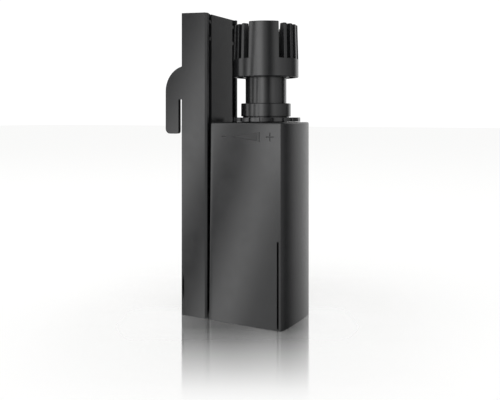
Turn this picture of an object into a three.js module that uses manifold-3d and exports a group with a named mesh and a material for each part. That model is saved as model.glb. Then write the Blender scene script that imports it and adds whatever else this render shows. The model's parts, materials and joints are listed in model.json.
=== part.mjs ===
// Internal power filter with a surface-skimming comb head, a flow regulator ring
// and a hook-on holder that the pump housing slides in. Millimetres, +Z up.
// +X is the rounded front face, -X the tank wall, -Y the face with the flow scale.
import * as THREE from "three";
import { mergeVertices } from "three/addons/utils/BufferGeometryUtils.js";
import Module from "manifold-3d";

const wasm = await Module();
wasm.setup();

// ---- driving dimensions -------------------------------------------------
// Lengthwise places are measured from the front plane of the holder's side plates.
const GAP = 0.3; // between pieces that touch
const CUT = 1; // how far a cutting tool runs past the face it cuts

const HOLDER = { height: 200, depth: 18, front: 1.2, chamfer: 1.2, halfWidth: 21.5, plate: 3.2, rise: 0.9 };
const HOOK = {
  thick: 2.8, reach: 31, arcRadius: 16.8, arcCentreZ: 149, legEndZ: 120.5,
  slotTopZ: 143.4, slot: 2.65, outerRound: 3.3, innerRound: 1.7,
};
const WEB = { front: -8.9, thick: 3 };
const LIP = { front: -3.8, thick: 2, inner: 15 };
const BRIDGE = { bottom: 197.8, front: -2.7 }; // closes the channel's top end
const SHOULDER = { inner: 14.4, front: -0.25 };
const NUB = { inner: 15.8, x: [-1.8, -0.1], z: [2.2, 4.5] };
const WINDOW = { height: 16.6, width: 1.4, x: -16.8, z: 18.9 };
const CUP = { y: 9.3, radius: 8.6, neck: 2.4, knob: 3.7, knobSeat: 1.6 };

const RAIL = { halfWidth: 14, proud: 0.67, thick: 2.97, top: 199.7, wall: 2.2, hollow: 7.5 };
const FLANGE = { front: -6.1, thick: 2.5, halfWidth: 17.9, top: 197.4 };
const LUG = { zs: [183.4, 194.7], height: 2.2, reach: 2.2, x: [-1.8, 0.4] };
const PEDESTAL = { halfWidth: 9, bottom: 8, top: 118 }; // carries the housing off the rail
const SCREW = { zs: [30, 110], radius: 1.3, bore: 1.6, head: 2.7, tip: -1.8 };

const BOX = {
  rear: 3.7, height: 128.4, halfWidth: 22.6, sideEnd: 22, crease: 55,
  front: 57.2, wall: 2.4, lid: 2.4, topRound: 1.2, draft: 1.2, rearRound: 0.8,
};
const NOSE = { turn: 52.5, lead: 1.8, shoulder: 15.2, flat: 10 }; // rounded front, in plan
const SLIT = { x: 53.15, width: 1.3, top: 54.8 };
const SCALE = { z: 119.3, depth: 0.25, height: 5.4, line: 0.7 };

const NECK_X = 34;
const RING = { radius: 22.5, bottom: 128.7, top: 131.4, notches: 20 };
const COLLAR = { radius: 16.35, top: 140.6 };
const TUBE = { outer: 13.45, inner: 11.65, bottom: 110, top: 166.9, groove: 0.8 };
const GROOVE_HALF = 1.7; // half the width of a guide groove
const TUBE_TURN = THREE.MathUtils.degToRad(-8.4); // where the tube's guide grooves point
const SLEEVE = { outer: 16, inner: 13.75, floor: 91, floorThick: 1.6 };
const SOCKET = { inner: 16.3, outer: 18.3, bottom: 87.4, ledge: 13, ledgeThick: 1.5 };
const PORT = { plateZ: 89.2, thick: 1.5, inner: 4.5, outer: 12.6, sweep: 80, offset: -40 };

const HEAD = { bottom: 157.6, slots: 169.3, finTop: 191.5, top: 192.3, radius: 21.36, topRadius: 20.7 };
const PANEL = { from: -95.4, to: -40.6 }; // degrees about the neck axis
const FINS = { count: 19, thick: 2.35, first: -27.5, pitch: 15.49 };

const MOTOR = { x: 31.5, rear: 8, front: 45.3, halfWidth: 18, bottom: 4.5, top: 40, wall: 1.6 };
const WELL = { inner: 8.6, outer: 9.9, floorZ: 12 };
const STACK = { bottom: 16, top: 30, bar: 13.5, barWidth: 5 };
const SHAFT = { radius: 1, bore: 1.15, bottom: 12.6, top: 51.8 };
const VOLUTE = { outer: 14.6, inner: 12.9, roof: 50, top: 52, eye: 6, inlet: 57 };
const DUCT = { near: 8, far: 12.9, bottom: 41.8, top: 49 };
const BAFFLE = { x: 46.6, thick: 1.6, top: 57 };
const COVER_THICK = 2.2;
const GRID = { bottom: 59.3, thick: 1.7, rows: 9, pitch: 3.8, slot: 2.2, firstX: 10, restX: [12, 40] };
const SPONGE = { bottom: 61.4, top: 86.8 };
const GLAND = { x: 11.5, y: 15, radius: 3.8, bore: 2.4, top: 131 };

const CENTRE_X = (BOX.front - HOOK.reach) / 2; // middle of the whole length

// ---- materials ----------------------------------------------------------
const COLOURS = {
  black_plastic: [0x1d1e20, 0.42, 0],
  black_rubber: [0x121214, 0.8, 0],
  sponge_foam: [0x20242a, 0.95, 0],
  steel: [0x9a9c9e, 0.35, 1],
  copper: [0xa85a2c, 0.4, 1],
  ferrite: [0x3a3a3e, 0.6, 0.2],
  ceramic: [0xe8e4da, 0.3, 0],
  grey_plastic: [0x6b6e72, 0.5, 0],
};

function material(name) {
  const [color, roughness, metalness] = COLOURS[name];
  return new THREE.MeshStandardMaterial({ name, color, roughness, metalness });
}

// ---- solids -------------------------------------------------------------
// A closed geometry as a solid that can be cut and joined.
function solid(geometry) {
  const plain = geometry.clone();
  plain.deleteAttribute("normal");
  plain.deleteAttribute("uv");
  const merged = mergeVertices(plain, 1e-4);
  const vertProperties = merged.attributes.position.array;
  const triVerts = new Uint32Array(merged.index.array);
  return new wasm.Manifold(new wasm.Mesh({ numProp: 3, vertProperties, triVerts }));
}

function geometryOf(body) {
  const mesh = body.getMesh();
  const geometry = new THREE.BufferGeometry();
  const positions = new THREE.BufferAttribute(new Float32Array(mesh.vertProperties), 3);
  geometry.setAttribute("position", positions);
  geometry.setIndex([...mesh.triVerts]);
  geometry.computeVertexNormals();
  return geometry;
}

function shapeOf(points) {
  return new THREE.Shape(points.map(([x, y]) => new THREE.Vector2(x, y)));
}

// An outline in X and Y, raised from z0 to z1.
function upright(points, z0, z1) {
  const geometry = new THREE.ExtrudeGeometry(shapeOf(points), { depth: z1 - z0, bevelEnabled: false });
  geometry.translate(0, 0, z0);
  return solid(geometry);
}

// An outline in X and Z, drawn out sideways from y0 to y1.
function sideways(points, y0, y1) {
  const geometry = new THREE.ExtrudeGeometry(shapeOf(points), { depth: y1 - y0, bevelEnabled: false });
  geometry.rotateX(Math.PI / 2);
  geometry.translate(0, y1, 0);
  return solid(geometry);
}

function block([x0, x1], [y0, y1], [z0, z1]) {
  const geometry = new THREE.BoxGeometry(x1 - x0, y1 - y0, z1 - z0);
  geometry.translate((x0 + x1) / 2, (y0 + y1) / 2, (z0 + z1) / 2);
  return solid(geometry);
}

// A profile of [radius, height] pairs turned about the vertical line through x, y.
function turned(profile, [x, y], segments = 48) {
  const points = profile.map(([r, z]) => new THREE.Vector2(r, z));
  const onAxis = profile[0][0] === 0 && profile.at(-1)[0] === 0;
  if (!onAxis) points.push(points[0].clone());
  const geometry = new THREE.LatheGeometry(points, segments);
  geometry.rotateX(Math.PI / 2);
  geometry.translate(x, y, 0);
  return solid(geometry);
}

function disc(radius, [x, y], z0, z1, segments = 48) {
  return turned([[0, z0], [radius, z0], [radius, z1], [0, z1]], [x, y], segments);
}

function pipe(inner, outer, [x, y], z0, z1, segments = 48) {
  return turned([[inner, z0], [outer, z0], [outer, z1], [inner, z1]], [x, y], segments);
}

// The convex block through flat outlines, each given with its height.
function stacked(layers) {
  return wasm.Manifold.hull(layers.flatMap(([points, z]) => points.map(([x, y]) => [x, y, z])));
}

// A round-section ring, for seals.
function ringSeal(radius, section, [x, y], z, segments = 48) {
  const profile = [];
  for (let i = 0; i < 8; i += 1) {
    const a = (i / 8) * 2 * Math.PI;
    profile.push([radius + section * Math.cos(a), z + section * Math.sin(a)]);
  }
  return turned(profile, [x, y], segments);
}

// A profile of [radius, x] pairs turned about the lengthwise line through y, z.
function turnedLengthwise(profile, [y, z], segments = 32) {
  const points = profile.map(([r, x]) => new THREE.Vector2(r, x));
  const geometry = new THREE.LatheGeometry(points, segments);
  geometry.rotateZ(-Math.PI / 2);
  geometry.translate(0, y, z);
  return solid(geometry);
}

// Points of an arc, both ends included, angles in degrees.
function arc([cx, cy], radius, from, to, steps) {
  const points = [];
  for (let i = 0; i <= steps; i += 1) {
    const a = THREE.MathUtils.degToRad(from + ((to - from) * i) / steps);
    points.push([cx + radius * Math.cos(a), cy + radius * Math.sin(a)]);
  }
  return points;
}

// A span on one side of the middle plane, lowest end first.
const span = (side, a, b) => [side * a, side * b].sort((low, high) => low - high);
const mirrored = (points) => points.map(([x, y]) => [x, -y]).reverse();
const neck = [NECK_X, 0];
const motorAxis = [MOTOR.x, 0];

function turnAboutNeck(body, radians) {
  const degrees = THREE.MathUtils.radToDeg(radians);
  return body.translate([-NECK_X, 0, 0]).rotate([0, 0, degrees]).translate([NECK_X, 0, 0]);
}

// ---- holder -------------------------------------------------------------
// Side view of one side plate with its hook.
function hookPlateOutline() {
  const rear = -HOLDER.depth;
  const inner = rear - HOOK.slot;
  const centre = [-HOOK.reach + HOOK.arcRadius, HOOK.arcCentreZ];
  const start = THREE.MathUtils.radToDeg(Math.acos((rear - centre[0]) / HOOK.arcRadius));
  const outerEnd = [-HOOK.reach + HOOK.outerRound, HOOK.legEndZ + HOOK.outerRound];
  const innerEnd = [inner - HOOK.innerRound, HOOK.legEndZ + HOOK.innerRound];
  return [
    [HOLDER.front, 0],
    [HOLDER.front, HOLDER.height],
    [rear, HOLDER.height + HOLDER.rise],
    ...arc(centre, HOOK.arcRadius, start, 180, 10),
    ...arc(outerEnd, HOOK.outerRound, 180, 270, 4),
    ...arc(innerEnd, HOOK.innerRound, 270, 360, 3),
    [inner, HOOK.slotTopZ],
    [rear, HOOK.slotTopZ],
    [rear, 0],
  ];
}

// The lens-shaped window near the rear edge, beside a suction cup.
function windowOutline() {
  const half = WINDOW.height / 2;
  const sagitta = WINDOW.width / 2;
  const radius = (half * half + sagitta * sagitta) / (2 * sagitta);
  const angle = THREE.MathUtils.radToDeg(Math.asin(half / radius));
  const right = arc([WINDOW.x + sagitta - radius, WINDOW.z], radius, -angle, angle, 6);
  const left = arc([WINDOW.x - sagitta + radius, WINDOW.z], radius, 180 - angle, 180 + angle, 6);
  return [...right, ...left.slice(1, -1)];
}

function holderChannel() {
  const { height, halfWidth, plate, front, chamfer } = HOLDER;
  const inside = halfWidth - plate;
  const webRear = WEB.front - WEB.thick;
  const rear = -HOLDER.depth;
  const between = [-inside - CUT, inside + CUT];
  let body = block([webRear, WEB.front], between, [0, height]);
  body = body.add(block([WEB.front - CUT, BRIDGE.front], between, [BRIDGE.bottom, height]));
  for (const side of [-1, 1]) {
    const hook = sideways(hookPlateOutline(), ...span(side, halfWidth - HOOK.thick, halfWidth));
    const wall = block([rear, front], span(side, inside, halfWidth - HOOK.thick + 0.1), [0, height]);
    const lipX = [LIP.front - LIP.thick, LIP.front];
    const lip = block(lipX, span(side, LIP.inner, inside + 0.1), [0, height]);
    const shoulderX = [BRIDGE.front - CUT, SHOULDER.front];
    const shoulderY = span(side, SHOULDER.inner, inside + 0.1);
    const shoulder = block(shoulderX, shoulderY, [BRIDGE.bottom, height]);
    const nub = block(NUB.x, span(side, NUB.inner, inside + 0.1), NUB.z);
    body = body.add(hook).add(wall).add(lip).add(shoulder).add(nub);
    body = body.subtract(sideways(windowOutline(), ...span(side, inside - CUT, halfWidth + CUT)));
    body = body.subtract(cupSeat(side));
    const corner = [
      [front - chamfer, side * halfWidth], [front, side * (halfWidth - chamfer)],
      [front + 1, side * (halfWidth - chamfer)], [front + 1, side * (halfWidth + 1)],
      [front - chamfer, side * (halfWidth + 1)],
    ];
    body = body.subtract(upright(side > 0 ? corner.reverse() : corner, -CUT, height + 2));
  }
  return body;
}

// The stepped hole in the web that a suction cup's knob snaps into.
function cupSeat(side) {
  const webRear = WEB.front - WEB.thick;
  const step = WEB.front - CUP.knobSeat;
  const neckHole = CUP.neck + GAP;
  const knobHole = CUP.knob + GAP;
  return turnedLengthwise(
    [[0, webRear - CUT], [neckHole, webRear - CUT], [neckHole, step], [knobHole, step],
      [knobHole, WEB.front + CUT], [0, WEB.front + CUT]],
    [side * CUP.y, WINDOW.z], 20,
  );
}

function suctionCup(side) {
  const rim = -HOLDER.depth + 0.1;
  const knobFront = WEB.front - GAP;
  const knobRear = WEB.front - CUP.knobSeat + GAP;
  const profile = [
    [0, rim + 1.6], [4, rim + 1.4], [CUP.radius - 2, rim + 0.6], [CUP.radius, rim],
    [CUP.radius, rim + 0.6], [CUP.radius - 2.4, rim + 2], [4, rim + 3.4], [CUP.neck, rim + 3.8],
    [CUP.neck, knobRear], [CUP.knob, knobRear], [CUP.knob, knobFront], [0, knobFront],
  ];
  return turnedLengthwise(profile, [side * CUP.y, WINDOW.z]);
}

// ---- rail ---------------------------------------------------------------
function railSection(flangeHalfWidth, panelHalfWidth) {
  const back = RAIL.proud - RAIL.thick;
  const rear = FLANGE.front - FLANGE.thick;
  const { hollow } = RAIL;
  const wall = hollow + RAIL.wall;
  const half = [
    [RAIL.proud, panelHalfWidth], [back, panelHalfWidth], [back, wall], [FLANGE.front, wall],
    [FLANGE.front, flangeHalfWidth], [rear, flangeHalfWidth], [rear, hollow], [back, hollow],
  ];
  return [...half, ...mirrored(half)];
}

function guideRail() {
  const panelX = [RAIL.proud - RAIL.thick, RAIL.proud];
  const panelY = [-RAIL.halfWidth, RAIL.halfWidth];
  let body = upright(railSection(FLANGE.halfWidth, RAIL.halfWidth), GAP, FLANGE.top);
  body = body.add(block(panelX, panelY, [FLANGE.top - CUT, RAIL.top]));
  const { bottom, top, halfWidth } = PEDESTAL;
  const face = (z) => BOX.rear - GAP + (BOX.draft * z) / BOX.height;
  const root = RAIL.proud - CUT;
  const pedestal = [[root, bottom], [face(bottom), bottom], [face(top), top], [root, top]];
  body = body.add(sideways(pedestal, -halfWidth, halfWidth));
  for (const z of LUG.zs) {
    for (const side of [-1, 1]) {
      const y = span(side, RAIL.halfWidth - CUT, RAIL.halfWidth + LUG.reach);
      body = body.add(block(LUG.x, y, [z - LUG.height / 2, z + LUG.height / 2]));
    }
  }
  for (const z of SCREW.zs) {
    body = body.subtract(screwBore(z));
  }
  return body;
}

// Clearance for a rail screw, through the rail's back and the housing's rear wall.
function screwBore(z) {
  const from = RAIL.proud - RAIL.thick - CUT;
  const to = BOX.rear + BOX.wall + CUT;
  return turnedLengthwise([[0, from], [SCREW.bore, from], [SCREW.bore, to], [0, to]], [0, z], 16);
}

function railScrew(z) {
  const head = BOX.rear + BOX.wall + GAP;
  const { radius, tip } = SCREW;
  const profile = [
    [0, tip], [radius, tip], [radius, head], [SCREW.head, head], [SCREW.head - 0.3, head + 1.1],
    [0, head + 1.1],
  ];
  return turnedLengthwise(profile, [0, z], 16);
}

// ---- housing ------------------------------------------------------------
// Plan of the housing: softly crowned sides that end in a crease at the rounded nose.
function housingPlan() {
  const { rear, rearRound, halfWidth, sideEnd, crease, front } = BOX;
  const sideStart = rear + rearRound;
  const chord = crease - sideStart;
  const sagitta = halfWidth - sideEnd;
  const radius = (chord * chord) / (8 * sagitta) + sagitta / 2;
  const sweep = THREE.MathUtils.radToDeg(Math.asin(chord / 2 / radius));
  const middle = (sideStart + crease) / 2;
  const crown = arc([middle, radius - halfWidth], radius, 270 - sweep, 270 + sweep, 12);
  const turn = THREE.MathUtils.degToRad(NOSE.turn);
  const nose = new THREE.CubicBezierCurve(
    new THREE.Vector2(crease, -sideEnd),
    new THREE.Vector2(crease + NOSE.lead * Math.cos(turn), -sideEnd + NOSE.lead * Math.sin(turn)),
    new THREE.Vector2(front - 0.25, -NOSE.shoulder),
    new THREE.Vector2(front, -NOSE.flat),
  );
  const corner = nose.getPoints(8).slice(1).map((p) => [p.x, p.y]);
  const chamfer = 0.3 * rearRound;
  const rearCorner = [[rear, -sideEnd + rearRound], [rear + chamfer, -sideEnd + chamfer]];
  const half = [...rearCorner, ...crown, ...corner];
  return [...half, ...mirrored(half)];
}

// A convex outline moved inwards: clipped along each of its edges in turn.
function inset(points, distance) {
  let kept = points;
  points.forEach(([x0, y0], i) => {
    const [x1, y1] = points[(i + 1) % points.length];
    const length = Math.hypot(x1 - x0, y1 - y0);
    const depth = ([x, y]) => ((x1 - x0) * (y - y0) - (y1 - y0) * (x - x0)) / length - distance;
    kept = kept.flatMap((p, j) => {
      const q = kept[(j + 1) % kept.length];
      const t = depth(p) / (depth(p) - depth(q));
      const crossing = t > 0 && t < 1 ? [[p[0] + (q[0] - p[0]) * t, p[1] + (q[1] - p[1]) * t]] : [];
      return depth(p) >= 0 ? [p, ...crossing] : crossing;
    });
  });
  const apart = ([xa, ya], [xb, yb]) => Math.hypot(xa - xb, ya - yb) > 0.02;
  return kept.filter((p, i) => apart(p, kept.at(i - 1)));
}

const insidePlan = (distance) => inset(housingPlan(), distance);

// The housing's outer block: rounded along its top edge, drafted at the rear.
function housingBlock() {
  const { height, topRound, rear, draft, halfWidth } = BOX;
  const layers = [[housingPlan(), 0], [housingPlan(), height - topRound]];
  for (const degrees of [30, 60, 90]) {
    const a = THREE.MathUtils.degToRad(degrees);
    layers.push([insidePlan(topRound * (1 - Math.cos(a))), height - topRound * (1 - Math.sin(a))]);
  }
  const past = rear - CUT;
  const above = height + CUT;
  const slope = [[past, 0], [rear, 0], [rear + draft, height], [rear + draft, above], [past, above]];
  return stacked(layers).subtract(sideways(slope, -halfWidth - CUT, halfWidth + CUT));
}

// Minus, wedge, bar and plus of the flow scale, as side-view outlines.
function scaleMarks() {
  const { z, height, line } = SCALE;
  const bar = (x, width, tall) => [
    [x - width / 2, z - tall / 2], [x + width / 2, z - tall / 2],
    [x + width / 2, z + tall / 2], [x - width / 2, z + tall / 2],
  ];
  return [
    bar(15, 3.2, line),
    [[20.3, z], [39.3, z - height / 2], [39.3, z + height / 2]],
    bar(40.5, line, height + 0.8),
    bar(47.85, 5.5, line),
    bar(47.85, line, height),
  ];
}

function housingShell() {
  const { height, wall, lid, halfWidth } = BOX;
  let body = housingBlock();
  const core = body.translate([0, SCALE.depth, 0]);
  for (const mark of scaleMarks()) {
    body = body.subtract(sideways(mark, -halfWidth - CUT, 0).subtract(core));
  }
  body = body.subtract(upright(insidePlan(wall), -CUT, height - lid));
  const { inner, outer, bottom } = SOCKET;
  const seat = bottom + SOCKET.ledgeThick;
  const tubeTop = height - lid + 0.1;
  const ledge = [[SOCKET.ledge, bottom], [outer, bottom], [outer, tubeTop], [inner, tubeTop],
    [inner, seat], [SOCKET.ledge, seat]];
  body = body.add(turned(ledge, neck)).subtract(disc(inner, neck, seat, height + CUT));
  for (const side of [-1, 1]) {
    const y = span(side, halfWidth - wall - 1.8, halfWidth - wall + 0.4);
    body = body.add(block(GRID.restX, y, [GRID.bottom - GAP - 1.6, GRID.bottom - GAP]));
  }
  const slitX = [SLIT.x - SLIT.width / 2, SLIT.x + SLIT.width / 2];
  body = body.subtract(block(slitX, [-halfWidth - CUT, -17], [-CUT, SLIT.top]));
  body = body.subtract(block(slitX, [17, halfWidth + CUT], [-CUT, SLIT.top]));
  for (const z of SCREW.zs) {
    body = body.subtract(screwBore(z));
  }
  return body.subtract(disc(3.2, [GLAND.x, GLAND.y], height - lid - CUT, height + CUT, 24));
}

// An outline of the housing's cavity, with room for a piece to slide in it.
const cavityPlan = () => insidePlan(BOX.wall + GAP);

function spongeGrid() {
  let body = upright(cavityPlan(), GRID.bottom, GRID.bottom + GRID.thick);
  const cutZ = [GRID.bottom - CUT, GRID.bottom + GRID.thick + CUT];
  for (let row = 0; row < GRID.rows; row += 1) {
    const x = GRID.firstX + row * GRID.pitch;
    for (const y of [[-16.5, -1.2], [1.2, 16.5]]) {
      body = body.subtract(block([x, x + GRID.slot], y, cutZ));
    }
  }
  return body;
}

function filterSponge() {
  return upright(insidePlan(BOX.wall + 0.8), SPONGE.bottom, SPONGE.top);
}

function cableGland() {
  const { x, y, radius, bore, top } = GLAND;
  const seat = BOX.height + GAP;
  const below = BOX.height - BOX.lid - 5;
  return turned(
    [[bore, below], [2.9, below], [2.9, seat], [radius, seat], [radius, seat + 0.8], [3.4, seat + 1.1],
      [3.1, top - 0.2], [2.9, top], [bore, top]],
    [x, y], 24,
  );
}

function glandNut() {
  const top = BOX.height - BOX.lid - GAP;
  const at = [GLAND.x, GLAND.y];
  return disc(4.3, at, top - 2.6, top, 6).subtract(disc(3.2, at, top - 4, top + CUT, 24));
}

// ---- flow regulator -----------------------------------------------------
// Two opposite sector openings through a disc about the neck axis.
function ports(turn, z0, z1) {
  const sector = (middle) => {
    const from = middle - PORT.sweep / 2;
    const to = middle + PORT.sweep / 2;
    return [...arc(neck, PORT.outer, from, to, 8), ...arc(neck, PORT.inner, to, from, 4)];
  };
  return upright(sector(turn), z0, z1).add(upright(sector(turn + 180), z0, z1));
}

function portPlate() {
  const top = PORT.plateZ + PORT.thick;
  const plate = disc(SOCKET.inner - GAP, neck, PORT.plateZ, top);
  return plate.subtract(ports(0, PORT.plateZ - CUT, top + CUT));
}

function throttleSleeve() {
  const { outer, inner, floor, floorThick } = SLEEVE;
  const top = RING.bottom - GAP;
  const lip = floor + floorThick;
  const profile = [
    [0, floor], [outer, floor], [outer, top], [inner, top], [inner, 126], [15.2, 126],
    [15.2, 124], [inner, 124], [inner, lip], [0, lip],
  ];
  return turned(profile, neck).subtract(ports(PORT.offset, floor - CUT, lip + CUT));
}

const tubeSeal = () => ringSeal(14.35, 0.72, neck, 125);

// Rim of the ring with grip notches.
function ringRim() {
  const points = [];
  const pitch = 360 / RING.notches;
  for (let i = 0; i < RING.notches; i += 1) {
    const middle = i * pitch;
    points.push(...arc(neck, RING.radius, middle - pitch + 2.4, middle - 2.4, 2));
    points.push(...arc(neck, RING.radius - 1.1, middle - 1.2, middle + 1.2, 1));
  }
  return upright(points, RING.bottom, RING.top);
}

function regulatorRing() {
  const bore = SLEEVE.inner;
  const { top } = RING;
  const collar = turned(
    [[bore + CUT, RING.bottom + 0.5], [15.2, RING.bottom + 0.5], [15.2, top + 0.6], [16, top + 0.9],
      [COLLAR.radius, top + 1.6], [COLLAR.radius, COLLAR.top - 0.7], [COLLAR.radius - 0.6, COLLAR.top],
      [bore + CUT, COLLAR.top]],
    neck,
  );
  let body = ringRim().add(collar).add(disc(15, neck, RING.bottom, COLLAR.top));
  body = body.subtract(disc(bore, neck, RING.bottom - CUT, COLLAR.top + CUT));
  const keyX = [NECK_X + TUBE.outer - TUBE.groove + GAP, NECK_X + bore + 0.4];
  const keyY = [-GROOVE_HALF + 0.4, GROOVE_HALF - 0.4];
  for (const turn of [0, Math.PI]) {
    const key = block(keyX, keyY, [RING.bottom + 0.9, COLLAR.top - 0.3]);
    body = body.add(turnAboutNeck(key, TUBE_TURN + turn));
  }
  return body;
}

// ---- skimmer head -------------------------------------------------------
function neckTube() {
  const { outer, inner, bottom, top, groove } = TUBE;
  let body = pipe(inner, outer, neck, bottom, top);
  const slotX = [NECK_X + outer - groove, NECK_X + outer + CUT];
  const slotZ = [bottom + 7.6, HEAD.bottom + 1.8];
  for (const turn of [0, Math.PI]) {
    const slot = block(slotX, [-GROOVE_HALF, GROOVE_HALF], slotZ);
    body = body.subtract(turnAboutNeck(slot, TUBE_TURN + turn));
  }
  return body;
}

// Half plane section of a comb fin, wider and deeper towards its foot.
const finSection = () => [
  [13.6, HEAD.slots - 0.4], [HEAD.radius, HEAD.slots - 0.4], [HEAD.topRadius, HEAD.finTop],
  [16.7, HEAD.finTop], [15.6, 180],
];

function skimmerComb() {
  const { bottom, slots, top, radius, topRadius } = HEAD;
  const hub = TUBE.outer + GAP;
  const segments = 72;
  let body = turned(
    [[hub, bottom], [hub + 1.6, bottom], [hub + 1.6, slots - 2], [19.5, slots - 2], [19.5, bottom],
      [radius - 0.3, bottom], [radius, bottom + 0.3], [radius, slots], [10.6, slots], [10.6, slots - 2],
      [hub, slots - 2]],
    neck, segments,
  );
  const fins = turned(finSection(), neck, segments);
  const slabY = [-FINS.thick / 2, FINS.thick / 2];
  const slab = block([NECK_X + 8, NECK_X + 25], slabY, [slots - CUT, top + CUT]);
  for (let i = 0; i < FINS.count; i += 1) {
    const angle = THREE.MathUtils.degToRad(FINS.first + i * FINS.pitch);
    body = body.add(turnAboutNeck(slab, angle).intersect(fins));
  }
  const wall = turned(
    [[radius - 2, slots - 0.5], [radius, slots - 0.5], [topRadius, top], [topRadius - 1.9, top]],
    neck, segments,
  );
  const sector = [neck, ...arc(neck, 30, PANEL.from, PANEL.to, 4)];
  return body.add(wall.intersect(upright(sector, slots - CUT, top + CUT)));
}

const headFloor = () => pipe(15.7, 19.2, neck, HEAD.bottom + 4, HEAD.bottom + 5.5);

// ---- pump cartridge -----------------------------------------------------
function bottomCover() {
  let body = upright(cavityPlan(), 0, COVER_THICK);
  for (const y of [[-16, -10], [10, 16]]) {
    body = body.subtract(block([22, 40], y, [-CUT, 1.1])); // finger grips
  }
  return body;
}

function motorCasing() {
  const { rear, front, halfWidth, bottom, top, wall } = MOTOR;
  let body = block([rear, front], [-halfWidth, halfWidth], [bottom, top]);
  body = body.subtract(
    block([rear + wall, front - wall], [-halfWidth + wall, halfWidth - wall], [bottom - CUT, top - 2]),
  );
  body = body.add(disc(WELL.outer, motorAxis, WELL.floorZ - 1.4, top - CUT, 40));
  body = body.subtract(disc(WELL.inner, motorAxis, WELL.floorZ, top + CUT, 40));
  return body.subtract(pipe(13, 14.5, motorAxis, top - 1.1, top + CUT, 40));
}

function motorBaseCap() {
  const { rear, front, halfWidth, bottom, wall } = MOTOR;
  const x = [rear + wall + GAP, front - wall - GAP];
  const y = [-halfWidth + wall + GAP, halfWidth - wall - GAP];
  return block(x, y, [bottom, bottom + 1.8]);
}

function statorCore() {
  const z = [STACK.bottom, STACK.top];
  const cutZ = [STACK.bottom - CUT, STACK.top + CUT];
  const back = STACK.bar + STACK.barWidth;
  const body = block([STACK.bar, MOTOR.x + 9.5], [-16, 16], z);
  return body
    .subtract(disc(WELL.outer + GAP, motorAxis, ...cutZ, 40))
    .subtract(block([back, back + 7], [-9.3, 9.3], cutZ))
    .subtract(block([MOTOR.x, MOTOR.x + 12], [-5, 5], cutZ));
}

function coilBobbin() {
  const x = [STACK.bar - GAP, STACK.bar + STACK.barWidth + GAP];
  const z = [STACK.bottom - GAP, STACK.top + GAP];
  const grow = ([a, b], by) => [a - by, b + by];
  let body = block(grow(x, 1), [-9, 9], grow(z, 1));
  for (const y of [[-9, -8], [8, 9]]) {
    body = body.add(block(grow(x, 3), y, grow(z, 3)));
  }
  return body.subtract(block(x, [-10, 10], z));
}

function coilWinding() {
  const x = [STACK.bar - GAP, STACK.bar + STACK.barWidth + GAP];
  const z = [STACK.bottom - GAP, STACK.top + GAP];
  const grow = ([a, b], by) => [a - by, b + by];
  const hole = block(grow(x, 1 + GAP), [-9, 9], grow(z, 1 + GAP));
  return block(grow(x, 2.4), [-7.7, 7.7], grow(z, 2.4)).subtract(hole);
}

const dampingFoot = ([x, y]) => disc(2.2, [x, y], COVER_THICK + GAP, MOTOR.bottom - GAP, 20);

function voluteCover() {
  const { outer, inner, roof, top, eye, inlet } = VOLUTE;
  const base = MOTOR.top + GAP;
  let body = disc(outer, motorAxis, base, top);
  body = body.add(block([MOTOR.x, BAFFLE.x - GAP], [DUCT.near - 1.4, outer], [base, roof + 1]));
  body = body.add(disc(eye + 1.5, motorAxis, top - CUT, inlet));
  body = body.subtract(disc(inner, motorAxis, base - CUT, roof));
  body = body.subtract(block([MOTOR.x, BAFFLE.x + CUT], [DUCT.near, DUCT.far], [DUCT.bottom, DUCT.top]));
  body = body.subtract(disc(eye, motorAxis, roof - CUT, inlet + CUT, 32));
  for (const turn of [0, 120, 240]) {
    const arm = block([0, eye + 0.5], [-0.7, 0.7], [roof, top]);
    body = body.add(arm.rotate([0, 0, turn]).translate([MOTOR.x, 0, 0]));
  }
  body = body.add(disc(3.4, motorAxis, roof, top, 24));
  return body.subtract(disc(2.3, motorAxis, roof - CUT, top + CUT, 24));
}

const chamberSeal = () => ringSeal(13.75, 0.52, motorAxis, MOTOR.top - 0.5, 40);

// Wall and lid that close off the outlet chamber behind the two slits.
function outletBaffle() {
  const { x, thick, top } = BAFFLE;
  const bottom = COVER_THICK + GAP;
  const wall = x + thick;
  const section = [
    [x, bottom], [wall, bottom], [wall, top - thick], [60, top - thick], [60, top], [x, top],
  ];
  const body = sideways(section, -25, 25).intersect(upright(cavityPlan(), 0, top + CUT));
  const outlet = block([x - CUT, wall + CUT], [DUCT.near, DUCT.far], [DUCT.bottom, DUCT.top]);
  return body.subtract(outlet);
}

const bushLower = () => turned(
  [[0, 12.2], [4.2, 12.2], [4.2, 14.6], [SHAFT.bore, 14.6], [SHAFT.bore, 12.5], [0, 12.5]],
  motorAxis, 24,
);
const bushUpper = () => pipe(SHAFT.bore, 2, motorAxis, VOLUTE.roof + GAP, VOLUTE.top, 24);
const rotorShaft = () => disc(SHAFT.radius, motorAxis, SHAFT.bottom, SHAFT.top, 24);

// ---- rotor --------------------------------------------------------------
const rotorMagnet = () => pipe(SHAFT.bore, 7.7, motorAxis, 15, 36, 32);

function impeller() {
  const bladeTop = 47.5;
  let body = disc(3.6, motorAxis, 36.3, bladeTop, 24).add(disc(11.8, motorAxis, 40.7, 41.7, 40));
  const blades = 6;
  for (let i = 0; i < blades; i += 1) {
    const blade = block([2.5, 11.6], [-0.6, 0.6], [41.4, bladeTop]);
    body = body.add(blade.rotate([0, 0, (i * 360) / blades]).translate([MOTOR.x, 0, 0]));
  }
  return body.subtract(disc(SHAFT.bore, motorAxis, 36, bladeTop + CUT, 24));
}

// ---- assembly -----------------------------------------------------------
const filter = new THREE.Group();
filter.name = "internal_power_filter";
const placed = new THREE.Group();
placed.position.x = -CENTRE_X;
filter.add(placed);

function addPiece(name, body, look) {
  const mesh = new THREE.Mesh(geometryOf(body), material(look));
  mesh.name = name;
  placed.add(mesh);
}

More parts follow.
